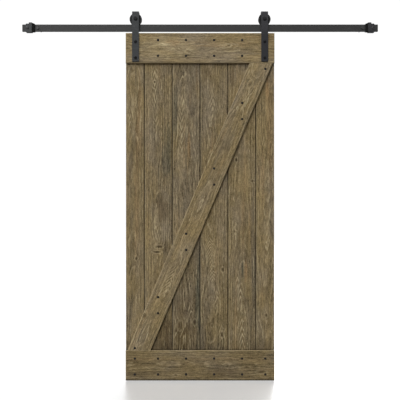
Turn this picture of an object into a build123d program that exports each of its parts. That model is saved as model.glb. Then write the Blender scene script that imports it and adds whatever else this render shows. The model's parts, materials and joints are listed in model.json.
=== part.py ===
from build123d import *
import os

# Sliding barn door on a flat steel rail, with two bent-strap roller hangers.
# X runs along the rail to the right, Y goes into the wall and Z is up, in millimetres.
# The origin is on the wall, at the back face of the left inner spacer, level with the rail's middle.

# Rail
rail_length = 2190.0
rail_height = 45.0
rail_thick = 6.0
rail_edge_round = 1.5
rail_corner_round = 4.0

# Fixings to the wall
inner_fixing = 400.0
fixing_end_margin = 95.0
spacer_length = 32.0
spacer_radius = 7.5
lag_radius = 4.0
lag_thread_radius = 3.75
lag_depth = 37.0
lag_tip_length = 9.0
lag_tip_radius = 0.8
lag_head_flats = 16.0
lag_head_height = 5.0
bolt_play = 0.25
head_edge = 0.8

# Stops clamped over the ends of the rail
stop_end_margin = 24.0
stop_lobe_length = 19.0
stop_wall = 8.0
stop_drop = 5.5
stop_low_rise = 3.5
stop_high_rise = 11.0
stop_round = 3.0
stop_end_round = 2.0
bumper_length = 16.0
bumper_drop = 1.5
bumper_base_inset = 1.0
bumper_base_rise = 9.0
bumper_tip_inset = 3.0
bumper_tip_rise = 2.5
bumper_round = 2.0
stop_bolt_radius = 4.0
stop_head_radius = 7.5
stop_head_height = 4.0
stop_head_round = 2.0
stop_socket_flats = 5.0
stop_socket_depth = 2.5
stop_nut_flats = 13.0
stop_nut_height = 6.5

# Grooved rollers
axle_above_rail = 30.0
roller_radius = 37.5
rolling_gap = 0.3
groove_play = 0.75
flange_thick = 5.0
flange_slope = 1.5
flange_round = 1.0
hub_radius = 14.0
hub_width = 25.4
dish_radius = 25.0
dish_depth = 2.0
dish_slope = 1.5

# Axle of each roller
axle_radius = 6.0
axle_play = 0.3
axle_head_radius = 12.5
axle_head_rim = 2.0
axle_boss_radius = 8.0
axle_boss_height = 4.0
axle_nut_flats = 18.0
axle_nut_height = 7.0
axle_end = 1.5

# Hanger straps
strap_width = 42.0
strap_thick = 5.0
hub_play = 0.3
strap_over_roller = 5.0
strap_bend = 4.0
strap_tail = 20.0
strap_foot_margin = 7.2
strap_foot_round = 3.0
strap_edge = 0.6
hanger_inset = 61.0

# Bolts that hold the straps to the door
strap_bolt_radius = 5.0
strap_bolt_drops = (54.5, 153.5)
strap_head_radius = 9.0
strap_head_height = 5.0
strap_head_round = 4.0
strap_socket_flats = 6.0
strap_socket_depth = 3.0
strap_nut_flats = 16.0
strap_nut_height = 5.0
strap_nut_flange_radius = 10.5
strap_nut_flange_height = 1.5
strap_bolt_end = 0.8

# Door leaf
door_width = 914.0
door_height = 2134.0
door_gap = 10.7
plank_width = 172.0
plank_count = 6
plank_thick = 19.0
plank_v = 4.0
tongue_thick = 5.6
tongue_length = 8.0
tongue_play = 0.2
groove_extra = 1.0
board_height = 184.0
board_thick = 16.0
board_edge_round = 3.0
brace_run = 141.0
brace_side_margin = 11.0

# Shapes shared by several pieces
hexagon_sides = 6
cut_overrun = 1.0

# Levels and places that follow from the sizes
rail_mid_x = inner_fixing
rail_back_y = -spacer_length
rail_front_y = rail_back_y - rail_thick
rail_mid_y = (rail_back_y + rail_front_y) / 2
rail_top_z = rail_height / 2
leaf_gap = hub_width + 2 * hub_play
front_leaf_y = rail_mid_y - leaf_gap / 2
back_leaf_y = rail_mid_y + leaf_gap / 2
strap_front_y = front_leaf_y - strap_thick
strap_back_y = back_leaf_y + strap_thick
axle_z = rail_top_z + axle_above_rail
tread_radius = axle_above_rail - rolling_gap
strap_top_z = axle_z + roller_radius + strap_over_roller + strap_thick
plank_front_y = front_leaf_y + board_thick
plank_back_y = plank_front_y + plank_thick
door_top_z = -rail_height / 2 - door_gap
door_bottom_z = door_top_z - door_height
strap_foot_z = door_top_z - board_height + strap_foot_margin
hanger_reach = door_width / 2 - hanger_inset
stop_outer_reach = rail_length / 2 - stop_end_margin
stop_step_reach = stop_outer_reach - stop_lobe_length
stop_inner_reach = stop_step_reach - stop_lobe_length
bumper_tip_reach = stop_inner_reach - bumper_length
stop_bolt_reach = (stop_outer_reach + stop_step_reach) / 2
brace_low_z = door_bottom_z + board_height
brace_high_z = door_top_z - board_height

outer_fixing = rail_length / 2 - fixing_end_margin
fixing_reaches = (-outer_fixing, -inner_fixing, inner_fixing, outer_fixing)
sides = (("left", -1), ("right", 1))

os.makedirs("parts", exist_ok=True)


def save(piece, name):
    """Label a finished sub-part and write it to its own file."""
    piece.part.label = name
    export_step(piece.part, f"parts/{name}.step")


def along_y(y):
    """The upright plane at a given depth, whose normal points away from the wall."""
    return Plane.XZ.offset(-y)


def bore(centres, radius, from_y, to_y):
    """Cut straight round holes between two depths in the piece being made."""
    with BuildSketch(along_y(to_y)) as discs:
        with Locations(*centres):
            Circle(radius)
    extrude(discs.sketch, amount=to_y - from_y, mode=Mode.SUBTRACT)


def round_bar(centre, radius, from_y, to_y):
    """Add a round bar between two depths to the piece being made."""
    with BuildSketch(along_y(to_y)) as disc:
        with Locations(centre):
            Circle(radius)
    extrude(disc.sketch, amount=to_y - from_y)


def hexagon_bar(centre, flats, from_y, to_y, mode=Mode.ADD):
    """Add or cut a six-sided bar between two depths, measured across its flats."""
    with BuildSketch(along_y(to_y)) as hexagon:
        with Locations(centre):
            RegularPolygon(flats / 2, hexagon_sides, major_radius=False)
    extrude(hexagon.sketch, amount=to_y - from_y, mode=mode)


def front_face():
    """The flat face of the piece being made that lies furthest from the wall."""
    return faces().filter_by(Axis.Y).sort_by(Axis.Y)[0]


def wall_side_face():
    """The flat face of the piece being made that lies nearest the wall."""
    return faces().filter_by(Axis.Y).sort_by(Axis.Y)[-1]


# Rail with its rounded corners and drilled holes
with BuildPart() as rail:
    with BuildSketch(Plane.YZ.offset(rail_mid_x - rail_length / 2)):
        with Locations((rail_mid_y, 0)):
            RectangleRounded(rail_thick, rail_height, rail_edge_round)
    extrude(amount=rail_length)
    with BuildSketch(along_y(rail_back_y)):
        with Locations((rail_mid_x, 0)):
            RectangleRounded(rail_length, rail_height, rail_corner_round)
    extrude(amount=rail_thick, mode=Mode.INTERSECT)
    fixing_holes = [(rail_mid_x + reach, 0) for reach in fixing_reaches]
    bore(fixing_holes, lag_radius + bolt_play, rail_front_y, rail_back_y)
    stop_holes = [(rail_mid_x + sign * stop_bolt_reach, 0) for _, sign in sides]
    bore(stop_holes, stop_bolt_radius + bolt_play, rail_front_y, rail_back_y)
save(rail, "track_rail")

# Spacers that hold the rail off the wall
for number, reach in enumerate(fixing_reaches, start=1):
    with BuildPart() as spacer:
        round_bar((rail_mid_x + reach, 0), spacer_radius, rail_back_y, 0)
        bore([(rail_mid_x + reach, 0)], lag_radius + bolt_play, rail_back_y, 0)
    save(spacer, f"wall_spacer_{number}")

# Lag bolts through the rail and the spacers into the wall
for number, reach in enumerate(fixing_reaches, start=1):
    centre = (rail_mid_x + reach, 0)
    with BuildPart() as lag:
        hexagon_bar(centre, lag_head_flats, rail_front_y - lag_head_height, rail_front_y)
        chamfer(front_face().edges(), head_edge)
        round_bar(centre, lag_radius, rail_front_y, 0)
        round_bar(centre, lag_thread_radius, 0, lag_depth - lag_tip_length)
        for y, radius in (
            (lag_depth - lag_tip_length, lag_thread_radius),
            (lag_depth, lag_tip_radius),
        ):
            with BuildSketch(along_y(y)):
                with Locations(centre):
                    Circle(radius)
        loft()
    save(lag, f"lag_bolt_{number}")


def saddle_block(from_x, to_x, rise):
    """Add one lobe of a stop: a rounded block over the rail and down past its lower edge."""
    low_z = -rail_height / 2 - stop_drop
    high_z = rail_top_z + rise
    with BuildSketch(Plane.YZ.offset(min(from_x, to_x))) as outline:
        with Locations((rail_mid_y, (low_z + high_z) / 2)):
            RectangleRounded(rail_thick + 2 * stop_wall, high_z - low_z, stop_round)
    extrude(outline.sketch, amount=abs(to_x - from_x))


def cut_rail_slot(from_x, to_x):
    """Cut the slot that lets the piece being made drop over the rail from above."""
    low_z = -rail_height / 2 - stop_drop - cut_overrun
    with BuildSketch(Plane.YZ.offset(min(from_x, to_x))) as slot:
        with Locations((rail_mid_y, (low_z + rail_top_z) / 2)):
            Rectangle(rail_thick, rail_top_z - low_z)
    extrude(slot.sketch, amount=abs(to_x - from_x), mode=Mode.SUBTRACT)


# Stops: a stepped saddle, its rubber bumper and the bolt with its nut
for side, sign in sides:
    outer_x, step_x, inner_x, tip_x, bolt_x = (
        rail_mid_x + sign * reach
        for reach in (
            stop_outer_reach,
            stop_step_reach,
            stop_inner_reach,
            bumper_tip_reach,
            stop_bolt_reach,
        )
    )
    with BuildPart() as stop:
        saddle_block(outer_x, step_x, stop_low_rise)
        saddle_block(step_x, inner_x, stop_high_rise)
        end_outlines = stop.faces().filter_by(Axis.X).group_by(Axis.X)
        fillet(end_outlines[0].edges() + end_outlines[-1].edges(), stop_end_round)
        cut_rail_slot(outer_x, inner_x)
        bore(
            [(bolt_x, 0)],
            stop_bolt_radius + bolt_play,
            rail_front_y - stop_wall,
            rail_back_y + stop_wall,
        )
    save(stop, f"stop_{side}")

    with BuildPart() as bumper:
        for x, inset, rise in (
            (inner_x, bumper_base_inset, bumper_base_rise),
            (tip_x, bumper_tip_inset, bumper_tip_rise),
        ):
            low_z = -rail_height / 2 - bumper_drop
            high_z = rail_top_z + rise
            with BuildSketch(Plane.YZ.offset(x)):
                with Locations((rail_mid_y, (low_z + high_z) / 2)):
                    RectangleRounded(
                        rail_thick + 2 * (stop_wall - inset), high_z - low_z, bumper_round
                    )
        loft()
        cut_rail_slot(inner_x, tip_x)
    save(bumper, f"stop_bumper_{side}")

    front_y = rail_front_y - stop_wall
    back_y = rail_back_y + stop_wall
    with BuildPart() as stop_bolt:
        round_bar((bolt_x, 0), stop_head_radius, front_y - stop_head_height, front_y)
        fillet(front_face().edges(), stop_head_round)
        round_bar((bolt_x, 0), stop_bolt_radius, front_y, back_y + stop_nut_height)
        hexagon_bar(
            (bolt_x, 0),
            stop_socket_flats,
            front_y - stop_head_height,
            front_y - stop_head_height + stop_socket_depth,
            Mode.SUBTRACT,
        )
    save(stop_bolt, f"stop_bolt_{side}")

    with BuildPart() as stop_nut:
        hexagon_bar((bolt_x, 0), stop_nut_flats, back_y, back_y + stop_nut_height)
        chamfer(wall_side_face().edges(), head_edge)
        bore([(bolt_x, 0)], stop_bolt_radius, back_y, back_y + stop_nut_height)
    save(stop_nut, f"stop_nut_{side}")

# Rollers: a grooved wheel turned about the axle, seated on the rail
for side, sign in sides:
    hanger_x = rail_mid_x + sign * hanger_reach
    groove_half = rail_thick / 2 + groove_play
    flange_half = groove_half + flange_thick
    with BuildPart() as roller:
        with BuildSketch(Plane.YZ.offset(hanger_x)) as half_section:
            with BuildLine():
                Polyline(
                    (-hub_width / 2, axle_radius + axle_play),
                    (-hub_width / 2, hub_radius),
                    (-flange_half + dish_depth, hub_radius + dish_slope),
                    (-flange_half + dish_depth, dish_radius - dish_slope),
                    (-flange_half, dish_radius),
                    (-flange_half, roller_radius),
                    (-groove_half - flange_slope, roller_radius),
                    (-groove_half, tread_radius),
                    (groove_half, tread_radius),
                    (groove_half + flange_slope, roller_radius),
                    (flange_half, roller_radius),
                    (flange_half, dish_radius),
                    (flange_half - dish_depth, dish_radius - dish_slope),
                    (flange_half - dish_depth, hub_radius + dish_slope),
                    (hub_width / 2, hub_radius),
                    (hub_width / 2, axle_radius + axle_play),
                    close=True,
                )
            make_face()
            rim = half_section.vertices().filter_by(lambda v: v.Z > roller_radius - flange_round)
            fillet(rim, flange_round)
        turned = revolve(axis=Axis((hanger_x, 0, 0), (0, 1, 0)), mode=Mode.PRIVATE)
        add(turned.moved(Location((0, rail_mid_y, axle_z))))
    save(roller, f"roller_{side}")

# Hanger straps: one flat bar bent over the roller, drilled for the axle and the door bolts
for side, sign in sides:
    hanger_x = rail_mid_x + sign * hanger_reach
    bar_front_y = front_leaf_y - strap_thick / 2
    bar_back_y = back_leaf_y + strap_thick / 2
    bar_top_z = strap_top_z - strap_thick / 2
    with BuildPart() as strap:
        with BuildLine(Plane.YZ.offset(hanger_x)) as bend_line:
            FilletPolyline(
                (bar_front_y, strap_foot_z),
                (bar_front_y, bar_top_z),
                (bar_back_y, bar_top_z),
                (bar_back_y, axle_z - strap_tail),
                radius=strap_bend + strap_thick / 2,
            )
        foot = Plane(
            origin=(hanger_x, bar_front_y, strap_foot_z), x_dir=(1, 0, 0), z_dir=(0, 0, 1)
        )
        with BuildSketch(foot):
            RectangleRounded(strap_width, strap_thick, strap_edge)
        sweep()
        outline_top_z = strap_top_z + strap_foot_round
        with BuildSketch(along_y(strap_back_y)):
            with Locations((hanger_x, (strap_foot_z + outline_top_z) / 2)):
                RectangleRounded(strap_width, outline_top_z - strap_foot_z, strap_foot_round)
        extrude(amount=strap_back_y - strap_front_y, mode=Mode.INTERSECT)
        bore([(hanger_x, axle_z)], axle_radius + bolt_play, strap_front_y, strap_back_y)
        bolt_places = [(hanger_x, door_top_z - drop) for drop in strap_bolt_drops]
        bore(bolt_places, strap_bolt_radius + bolt_play, strap_front_y, front_leaf_y)
    save(strap, f"hanger_strap_{side}")

    with BuildPart() as axle_bolt:
        head_y = strap_front_y - axle_head_rim
        round_bar((hanger_x, axle_z), axle_head_radius, head_y, strap_front_y)
        round_bar((hanger_x, axle_z), axle_boss_radius, head_y - axle_boss_height, head_y)
        chamfer(front_face().edges(), head_edge)
        end_y = strap_back_y + axle_nut_height + axle_end
        round_bar((hanger_x, axle_z), axle_radius, strap_front_y, end_y)
        chamfer(wall_side_face().edges(), head_edge)
    save(axle_bolt, f"axle_bolt_{side}")

    with BuildPart() as axle_nut:
        hexagon_bar(
            (hanger_x, axle_z), axle_nut_flats, strap_back_y, strap_back_y + axle_nut_height
        )
        chamfer(wall_side_face().edges(), head_edge)
        bore([(hanger_x, axle_z)], axle_radius, strap_back_y, strap_back_y + axle_nut_height)
    save(axle_nut, f"axle_nut_{side}")

# Bolts and flanged nuts that clamp each strap to the door
for side, sign in sides:
    hanger_x = rail_mid_x + sign * hanger_reach
    for level, drop in zip(("upper", "lower"), strap_bolt_drops):
        centre = (hanger_x, door_top_z - drop)
        head_y = strap_front_y - strap_head_height
        flange_y = plank_back_y + strap_nut_flange_height
        nut_y = flange_y + strap_nut_height
        with BuildPart() as strap_bolt:
            round_bar(centre, strap_head_radius, head_y, strap_front_y)
            fillet(front_face().edges(), strap_head_round)
            round_bar(centre, strap_bolt_radius, strap_front_y, nut_y + strap_bolt_end)
            hexagon_bar(
                centre,
                strap_socket_flats,
                head_y,
                head_y + strap_socket_depth,
                Mode.SUBTRACT,
            )
        save(strap_bolt, f"strap_bolt_{side}_{level}")

        with BuildPart() as strap_nut:
            round_bar(centre, strap_nut_flange_radius, plank_back_y, flange_y)
            hexagon_bar(centre, strap_nut_flats, flange_y, nut_y)
            chamfer(wall_side_face().edges(), head_edge)
            bore([centre], strap_bolt_radius, plank_back_y, nut_y)
        save(strap_nut, f"strap_nut_{side}_{level}")

# Places of the strap bolts on the door
door_bolt_holes = [
    (rail_mid_x + sign * hanger_reach, door_top_z - drop)
    for _, sign in sides
    for drop in strap_bolt_drops
]

# Planks: tongue-and-groove boards with a V at each seam
inner_planks = plank_count - 2
edge_plank_width = (door_width - inner_planks * plank_width) / 2
plank_left_x = rail_mid_x - door_width / 2
for number in range(1, plank_count + 1):
    at_edge = number in (1, plank_count)
    width = edge_plank_width if at_edge else plank_width
    plank_right_x = plank_left_x + width
    plank_mid_y = (plank_front_y + plank_back_y) / 2
    with BuildPart() as plank:
        with BuildSketch(Plane.XY.offset(door_bottom_z)) as section:
            with Locations(((plank_left_x + plank_right_x) / 2, plank_mid_y)):
                Rectangle(width, plank_thick)
            seam_corners = [
                v
                for v in section.vertices().group_by(Axis.Y)[0]
                if not (number == 1 and v.X < plank_left_x + plank_v)
                and not (number == plank_count and v.X > plank_right_x - plank_v)
            ]
            chamfer(seam_corners, plank_v)
            if number < plank_count:
                with Locations((plank_right_x + tongue_length / 2, plank_mid_y)):
                    Rectangle(tongue_length, tongue_thick)
            if number > 1:
                groove_depth = tongue_length + groove_extra
                with Locations((plank_left_x + groove_depth / 2, plank_mid_y)):
                    Rectangle(groove_depth, tongue_thick + 2 * tongue_play, mode=Mode.SUBTRACT)
        extrude(amount=door_height)
        bore(door_bolt_holes, strap_bolt_radius + bolt_play, plank_front_y, plank_back_y)
    save(plank, f"plank_{number}")
    plank_left_x = plank_right_x

# Cross boards at the top and the bottom of the door
for name, top_z, holes in (
    ("top_board", door_top_z, door_bolt_holes),
    ("bottom_board", door_bottom_z + board_height, []),
):
    with BuildPart() as board:
        with BuildSketch(along_y(plank_front_y)):
            with Locations((rail_mid_x, top_z - board_height / 2)):
                Rectangle(door_width, board_height)
        extrude(amount=board_thick)
        fillet(front_face().edges(), board_edge_round)
        if holes:
            bore(holes, strap_bolt_radius + bolt_play, front_leaf_y, plank_front_y)
    save(board, name)

# Brace: a slanted board whose ends are cut level to meet the cross boards
brace_low_x = rail_mid_x - door_width / 2 + brace_side_margin
brace_high_x = rail_mid_x + door_width / 2 - brace_side_margin
with BuildPart() as brace:
    with BuildSketch(along_y(plank_front_y)):
        with BuildLine():
            Polyline(
                (brace_low_x, brace_low_z),
                (brace_low_x + brace_run, brace_low_z),
                (brace_high_x, brace_high_z),
                (brace_high_x - brace_run, brace_high_z),
                close=True,
            )
        make_face()
    extrude(amount=board_thick)
    long_edges = front_face().edges().filter_by(Axis.X, reverse=True)
    fillet(long_edges, board_edge_round)
save(brace, "brace")
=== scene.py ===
"""Looks of a sliding plank door: stained wood, coated steel, rubber, nails and screw threads.

All sizes are in metres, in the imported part's own frame: X runs along the rail to the right, Y goes
into the wall and Z is up.
"""

import json
import logging
import math
import random
from dataclasses import dataclass
from enum import Enum
from typing import Sequence, Union

import bmesh
import bpy
from mathutils import Matrix, Vector

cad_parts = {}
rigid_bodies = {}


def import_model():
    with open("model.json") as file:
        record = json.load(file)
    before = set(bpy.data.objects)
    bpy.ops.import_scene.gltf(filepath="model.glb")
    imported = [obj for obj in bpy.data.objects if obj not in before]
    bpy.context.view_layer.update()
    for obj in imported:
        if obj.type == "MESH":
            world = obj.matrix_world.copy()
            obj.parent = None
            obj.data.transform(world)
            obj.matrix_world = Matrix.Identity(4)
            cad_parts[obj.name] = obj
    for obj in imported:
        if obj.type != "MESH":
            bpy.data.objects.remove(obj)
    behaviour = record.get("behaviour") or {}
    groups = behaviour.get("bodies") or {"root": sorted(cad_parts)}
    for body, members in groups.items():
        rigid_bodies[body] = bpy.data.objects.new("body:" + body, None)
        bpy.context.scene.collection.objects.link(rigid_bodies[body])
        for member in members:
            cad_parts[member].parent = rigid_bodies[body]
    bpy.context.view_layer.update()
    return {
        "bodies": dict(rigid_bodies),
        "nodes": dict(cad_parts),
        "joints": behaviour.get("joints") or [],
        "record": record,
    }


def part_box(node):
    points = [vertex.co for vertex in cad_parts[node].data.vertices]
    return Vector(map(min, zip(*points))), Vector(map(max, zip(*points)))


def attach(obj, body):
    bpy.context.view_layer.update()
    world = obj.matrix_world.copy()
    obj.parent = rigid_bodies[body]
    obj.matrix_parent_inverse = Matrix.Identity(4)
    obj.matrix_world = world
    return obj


log = logging.getLogger("barn_door")

Socket = bpy.types.NodeSocket
Value = Union[float, Socket]
Point = tuple[float, float, float]
Shade = tuple[int, int, int]


def linear(shade: Shade) -> tuple[float, float, float, float]:
    """Turn a screen colour into the linear colour that a shader takes.

    Args:
        shade: Red, green and blue, each from 0 to 255.

    Returns:
        The same colour in linear light, with full alpha.
    """
    channels = [part / 255 for part in shade]
    red, green, blue = (
        part / 12.92 if part <= 0.04045 else ((part + 0.055) / 1.055) ** 2.4 for part in channels)
    return red, green, blue, 1.0


class NodeGraph:
    """A material's shader network, written as short calls that add a node and join it."""

    def __init__(self, name: str) -> None:
        """Start a material with a principled shader.

        Args:
            name: The material's name.
        """
        self.material = bpy.data.materials.new(name)
        self.material.use_nodes = True
        self.tree = self.material.node_tree
        self.tree.nodes.clear()
        self.shader = self.add("ShaderNodeBsdfPrincipled")
        self.output = self.add("ShaderNodeOutputMaterial")
        self.join(self.shader.outputs["BSDF"], self.output.inputs["Surface"])

    def add(self, kind: str, **settings: object) -> bpy.types.Node:
        """Add one node.

        Args:
            kind: The node's type.
            settings: Properties of the node itself.

        Returns:
            The new node.
        """
        node = self.tree.nodes.new(kind)
        for key, setting in settings.items():
            setattr(node, key, setting)
        return node

    def join(self, source: object, target: Socket) -> None:
        """Link a socket to another one, or set a plain value on it.

        Args:
            source: A socket, a number or a vector.
            target: The input that takes it.
        """
        if isinstance(source, bpy.types.NodeSocket):
            self.tree.links.new(source, target)
        else:
            target.default_value = source

    def math(self, operation: str, first: Value, second: Value = 0.0, third: Value = 0.0) -> Socket:
        """Add a math node.

        Args:
            operation: The name of the operation.
            first: The first number or socket.
            second: The second number or socket.
            third: The third number or socket.

        Returns:
            The result's socket.
        """
        node = self.add("ShaderNodeMath", operation=operation)
        for socket, value in zip(node.inputs, (first, second, third)):
            self.join(value, socket)
        return node.outputs[0]

    def split(self, vector: Socket) -> tuple[Socket, ...]:
        """Take a vector apart.

        Args:
            vector: The vector's socket.

        Returns:
            Its three parts.
        """
        node = self.add("ShaderNodeSeparateXYZ")
        self.join(vector, node.inputs[0])
        return tuple(node.outputs)

    def total(self, *values: Value) -> Socket:
        """Sum any number of values.

        Args:
            values: The numbers or sockets.

        Returns:
            Their sum.
        """
        result = values[0]
        for value in values[1:]:
            result = self.math("ADD", result, value)
        return result

    def product(self, *values: Value) -> Socket:
        """Multiply any number of values.

        Args:
            values: The numbers or sockets.

        Returns:
            Their product.
        """
        result = values[0]
        for value in values[1:]:
            result = self.math("MULTIPLY", result, value)
        return result

    def between(self, value: Value, low: float, high: float, to_low: float,
                to_high: float) -> Socket:
        """Map a range smoothly to another one and clamp it there.

        Args:
            value: The number or socket to map.
            low: Start of the range that is read.
            high: End of the range that is read.
            to_low: Result at the start.
            to_high: Result at the end.

        Returns:
            The result's socket.
        """
        node = self.add("ShaderNodeMapRange", interpolation_type="SMOOTHSTEP")
        for socket, number in zip(node.inputs, (value, low, high, to_low, to_high)):
            self.join(number, socket)
        return node.outputs[0]

    def coordinates(self, centre: Point, tilt: float) -> Socket:
        """Object coordinates seen from a board's middle, with its grain turned upright.

        Args:
            centre: The board's middle.
            tilt: Angle of the grain from upright, about Y, in radians.

        Returns:
            A vector of across, depth and along the grain.
        """
        source = self.add("ShaderNodeTexCoord").outputs["Object"]
        node = self.add("ShaderNodeMapping", vector_type="TEXTURE")
        self.join(source, node.inputs["Vector"])
        node.inputs["Location"].default_value = centre
        node.inputs["Rotation"].default_value = (0.0, tilt, 0.0)
        return node.outputs[0]

    def stretched(self, vector: Socket, rates: Point, seed: float) -> Socket:
        """Scale a vector along its axes and move it to another stretch of a noise.

        Args:
            vector: The vector to scale.
            rates: Features for each metre along the three axes.
            seed: Offset that picks the stretch.

        Returns:
            The scaled vector.
        """
        node = self.add("ShaderNodeVectorMath", operation="MULTIPLY_ADD")
        self.join(vector, node.inputs[0])
        node.inputs[1].default_value = rates
        node.inputs[2].default_value = (seed, 1.7 * seed, 2.3 * seed)
        return node.outputs[0]

    def noise(self, vector: Socket, rates: Point, seed: float, detail: float = 2.0) -> Socket:
        """Add a noise whose features have their own size along each axis.

        Args:
            vector: Where the noise is read.
            rates: Features for each metre along the three axes.
            seed: Offset that picks the stretch of noise.
            detail: How many finer layers it has.

        Returns:
            Its value, from 0 to 1.
        """
        node = self.add("ShaderNodeTexNoise")
        self.join(self.stretched(vector, rates, seed), node.inputs["Vector"])
        node.inputs["Scale"].default_value = 1.0
        node.inputs["Detail"].default_value = detail
        return node.outputs["Fac"]

    def swing(self, vector: Socket, rates: Point, seed: float, reach: float,
              detail: float = 2.0) -> Socket:
        """A noise centred on nought that swings to about plus and minus its reach."""
        centred = self.math("SUBTRACT", self.noise(vector, rates, seed, detail), 0.5)
        return self.math("MULTIPLY", centred, 2.0 * reach)

    def blend(self, share: Value, first: object, second: object) -> Socket:
        """Blend two colours.

        Args:
            share: How much of the second colour shows.
            first: The colour or socket below.
            second: The colour or socket above.

        Returns:
            The blended colour.
        """
        node = self.add("ShaderNodeMix", data_type="RGBA")
        self.join(share, node.inputs["Factor"])
        self.join(first, node.inputs[6])
        self.join(second, node.inputs[7])
        return node.outputs[2]

    def lit(self, colour: object, factor: Value) -> Socket:
        """Scale a colour's brightness.

        Args:
            colour: The colour or its socket.
            factor: The factor, a number or a socket.

        Returns:
            The scaled colour.
        """
        node = self.add("ShaderNodeVectorMath", operation="SCALE")
        self.join(colour, node.inputs[0])
        self.join(factor, node.inputs["Scale"])
        return node.outputs[0]

    def relief(self, height: Socket, depth: float) -> None:
        """Give the shader a bump.

        Args:
            height: The height's socket, from 0 to 1.
            depth: The real height of 1, in metres.
        """
        node = self.add("ShaderNodeBump")
        node.inputs["Distance"].default_value = depth
        node.inputs["Strength"].default_value = 1.0
        self.join(height, node.inputs["Height"])
        self.join(node.outputs["Normal"], self.shader.inputs["Normal"])


class Tone(Enum):
    """Tones that the stain takes in the wood, as screen colours."""

    OLIVE = (136, 118, 82)
    WARM = (146, 120, 84)
    GREY = (130, 117, 95)
    DUSK = (107, 97, 80)
    SLATE = (84, 83, 69)
    TAN = (160, 130, 90)
    UMBER = (84, 66, 38)
    BARK = (50, 38, 23)
    PITCH = (27, 21, 13)
    CREAM = (196, 180, 142)


@dataclass(frozen=True)
class Grain:
    """One layer of noise in the wood.

    Attributes:
        across: Features for each metre across the grain and into the board.
        along: Features for each metre along the grain.
        shift: Offset that keeps the layer apart from the others.
        reach: How far it swings to either side of nought.
        detail: How many finer layers it has.
    """

    across: float
    along: float
    shift: float
    reach: float = 1.0
    detail: float = 2.0

    def rates(self) -> Point:
        """Features for each metre along the board's three axes."""
        return self.across, self.across, self.along


class Layer(Enum):
    """The layers of noise that make up a board's grain, from its log down to its brush marks."""

    SWAY = Grain(5.0, 2.2, 0.0)
    HEAVE = Grain(2.0, 3.4, 11.0, reach=2.0, detail=1.0)
    RIPPLE = Grain(42.0, 14.0, 3.0, reach=0.005, detail=3.0)
    FRAY = Grain(220.0, 50.0, 7.0, reach=0.003)
    STRAY = Grain(60.0, 16.0, 59.0, reach=0.011, detail=1.0)
    TEAR = Grain(130.0, 60.0, 13.0)
    FADE = Grain(26.0, 6.0, 19.0)
    HUE = Grain(40.0, 1.8, 43.0)
    CLOUD = Grain(9.0, 4.0, 37.0, detail=3.0)
    BROAD = Grain(11.0, 1.4, 23.0)
    STREAK = Grain(75.0, 2.6, 29.0, detail=3.0)
    STRAND = Grain(105.0, 9.0, 53.0)
    FIBRE = Grain(340.0, 9.0, 31.0, detail=3.0)
    FLECKS = Grain(190.0, 34.0, 47.0, detail=3.0)
    BRUSHED = Grain(420.0, 130.0, 41.0)


BRIGHTNESS_WEIGHTS: dict[Layer, float] = {
    Layer.BROAD: 0.34,
    Layer.STREAK: 0.44,
    Layer.STRAND: 0.44,
    Layer.FIBRE: 0.34,
    Layer.FLECKS: 0.80,
    Layer.BRUSHED: 0.85,
}
RELIEF_WEIGHTS: dict[Layer, float] = {Layer.FIBRE: 0.35, Layer.FLECKS: 0.6, Layer.BRUSHED: 0.30}
RAGGED_WEIGHTS: dict[Layer, float] = {Layer.STREAK: 1.3, Layer.STRAND: 1.0, Layer.CLOUD: 0.8}


class BoardGraph(NodeGraph):
    """A board's shader network, with its axes, its faces' direction and its layers of noise."""

    def __init__(self, name: str, centre: Point, tilt: float, seed: float) -> None:
        """Start a board's material.

        Args:
            name: The material's name.
            centre: The board's middle.
            tilt: Angle of the grain from upright, about Y, in radians.
            seed: Offset that picks the board's own stretch of noise.
        """
        super().__init__(name)
        where = self.coordinates(centre, tilt)
        self.across, self.depth, self.along = self.split(where)
        self.facing = self.split(self.add("ShaderNodeTexCoord").outputs["Normal"])
        self.layers: dict[Layer, Socket] = {}
        for layer in Layer:
            grain = layer.value
            self.layers[layer] = self.swing(
                where, grain.rates(), seed + grain.shift, grain.reach, grain.detail)

    def weighed(self, weights: dict[Layer, float]) -> list[Socket]:
        """Layers of noise, each times its weight."""
        return [self.math("MULTIPLY", self.layers[key], share) for key, share in weights.items()]

    def nearness(self, place: Sequence[float], reach: Sequence[float]) -> Socket:
        """Squared distance from a place on the board, counted in its reach.

        Args:
            place: The place, across and along the grain.
            reach: The size of the spot, across and along the grain.

        Returns:
            The squared distance, which is 1 at the spot's edge.
        """
        terms = []
        for axis, middle, size in zip((self.across, self.along), place, reach):
            share = self.math("MULTIPLY", self.math("SUBTRACT", axis, middle), 1.0 / size)
            terms.append(self.math("MULTIPLY", share, share))
        return self.math("ADD", *terms)

    def bell(self, nearness: Socket, width: float) -> Socket:
        """A soft hill that falls from 1 to 0 around a place."""
        return self.math("EXPONENT", self.math("MULTIPLY", nearness, -1.0 / width))

    def stain(self, colour: Socket, share: Value, tone: Tone) -> Socket:
        """Lay a tone over a colour by its share."""
        return self.blend(share, colour, linear(tone.value))


@dataclass(frozen=True)
class Knot:
    """A knot, from the leaf's left and top edges, with how far it pushes the rings aside."""

    from_left: float
    down: float
    radius: float
    stretch: float = 1.6
    push: float = 0.012
    dark: float = 0.8


@dataclass(frozen=True)
class Patch:
    """A soft patch of another tone, from the leaf's left and top edges, with half its size."""

    from_left: float
    down: float
    wide: float
    high: float
    tone: Tone
    strength: float


@dataclass(frozen=True)
class Flame:
    """A stack of pale chevrons in the grain.

    Attributes:
        wide: Half its width across the grain.
        high: Half its length along the grain.
        gap: Distance from one chevron to the next.
        lean: How steep they are: peaks when it is positive, dips when it is negative.
    """

    from_left: float
    down: float
    wide: float
    high: float
    gap: float
    lean: float
    strength: float


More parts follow.
